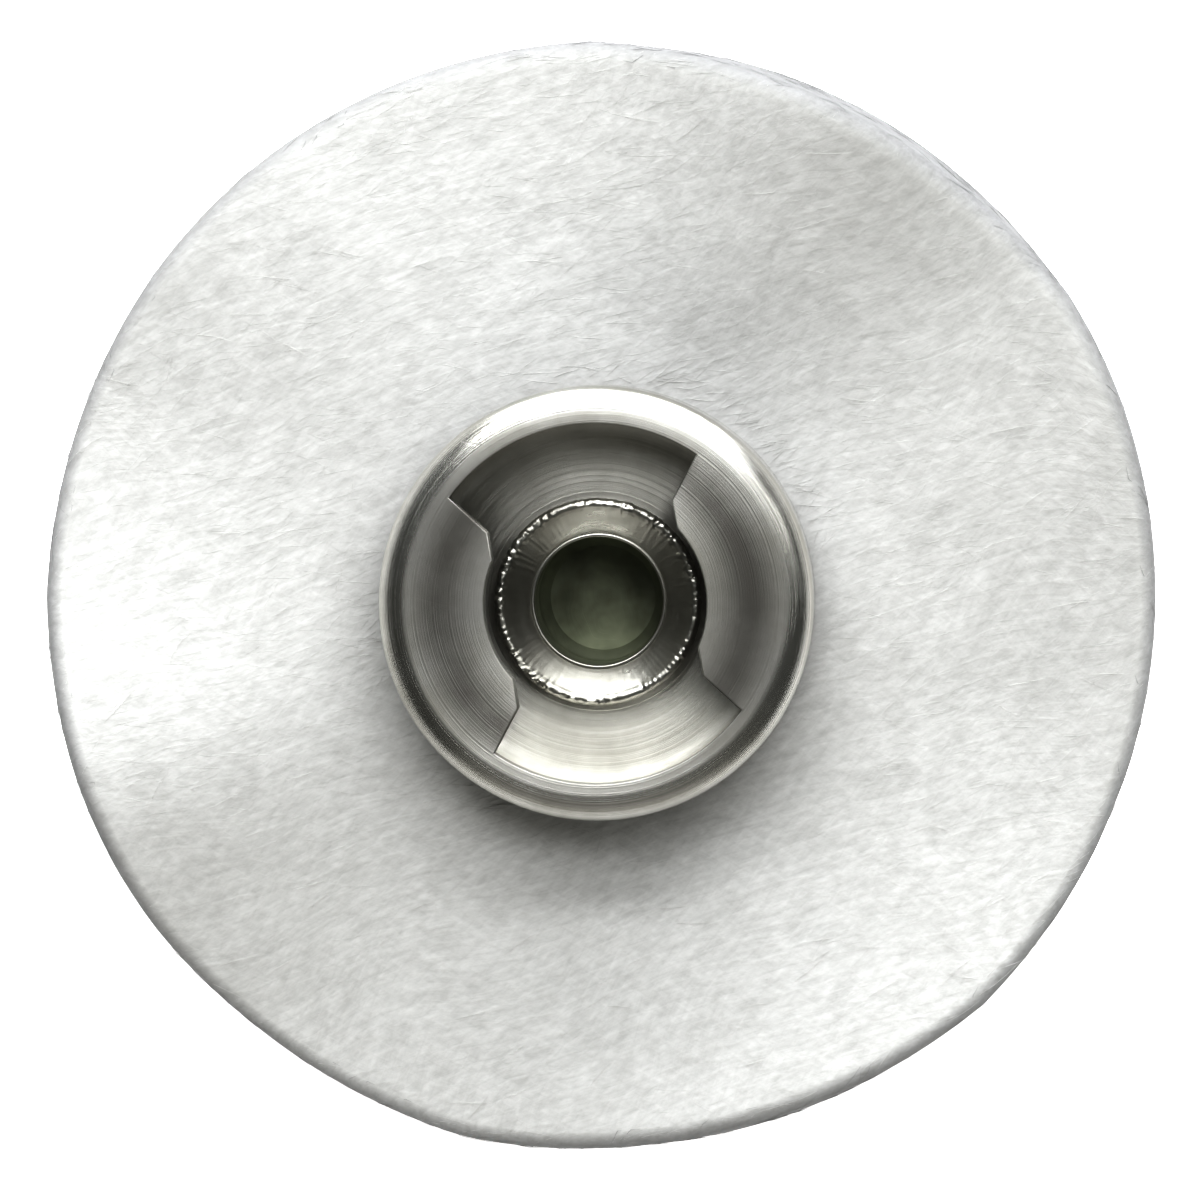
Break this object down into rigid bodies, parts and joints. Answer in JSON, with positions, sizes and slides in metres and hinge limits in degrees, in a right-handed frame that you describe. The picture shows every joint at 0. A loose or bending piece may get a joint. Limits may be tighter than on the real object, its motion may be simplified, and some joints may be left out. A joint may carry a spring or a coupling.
{
  "type": "felt polishing wheel",
  "caption": "Warped pressed-felt polishing disc with a riveted steel quick-change hub that takes a bow-tie mandrel tip.",
  "frame": {"origin": "on the wheel's axis, at the level of the surface that the felt's working side lies on", "axes": "+Z along the wheel's axis, out of the hub towards the mandrel; +Y along the bow-tie opening's long axis"},
  "size_m": [0.0254, 0.0254, 0.0067],
  "materials": {
    "felt": "dense pressed white wool felt with a fine fibrous nap",
    "washer_steel": "bright zinc-plated sheet steel",
    "rivet_nickel": "bright nickel plating, hammered where it is flared",
    "seat_steel": "turned steel with circular tool marks",
    "cap_steel": "satin lobes and polished shoulder, nickel plated"
  },
  "bodies": {
    "root": {"felt_disc": "felt", "backing_washer": "washer_steel", "rivet": "rivet_nickel", "hub_seat": "seat_steel", "hub_cap": "cap_steel"}
  },
  "joints": []
}
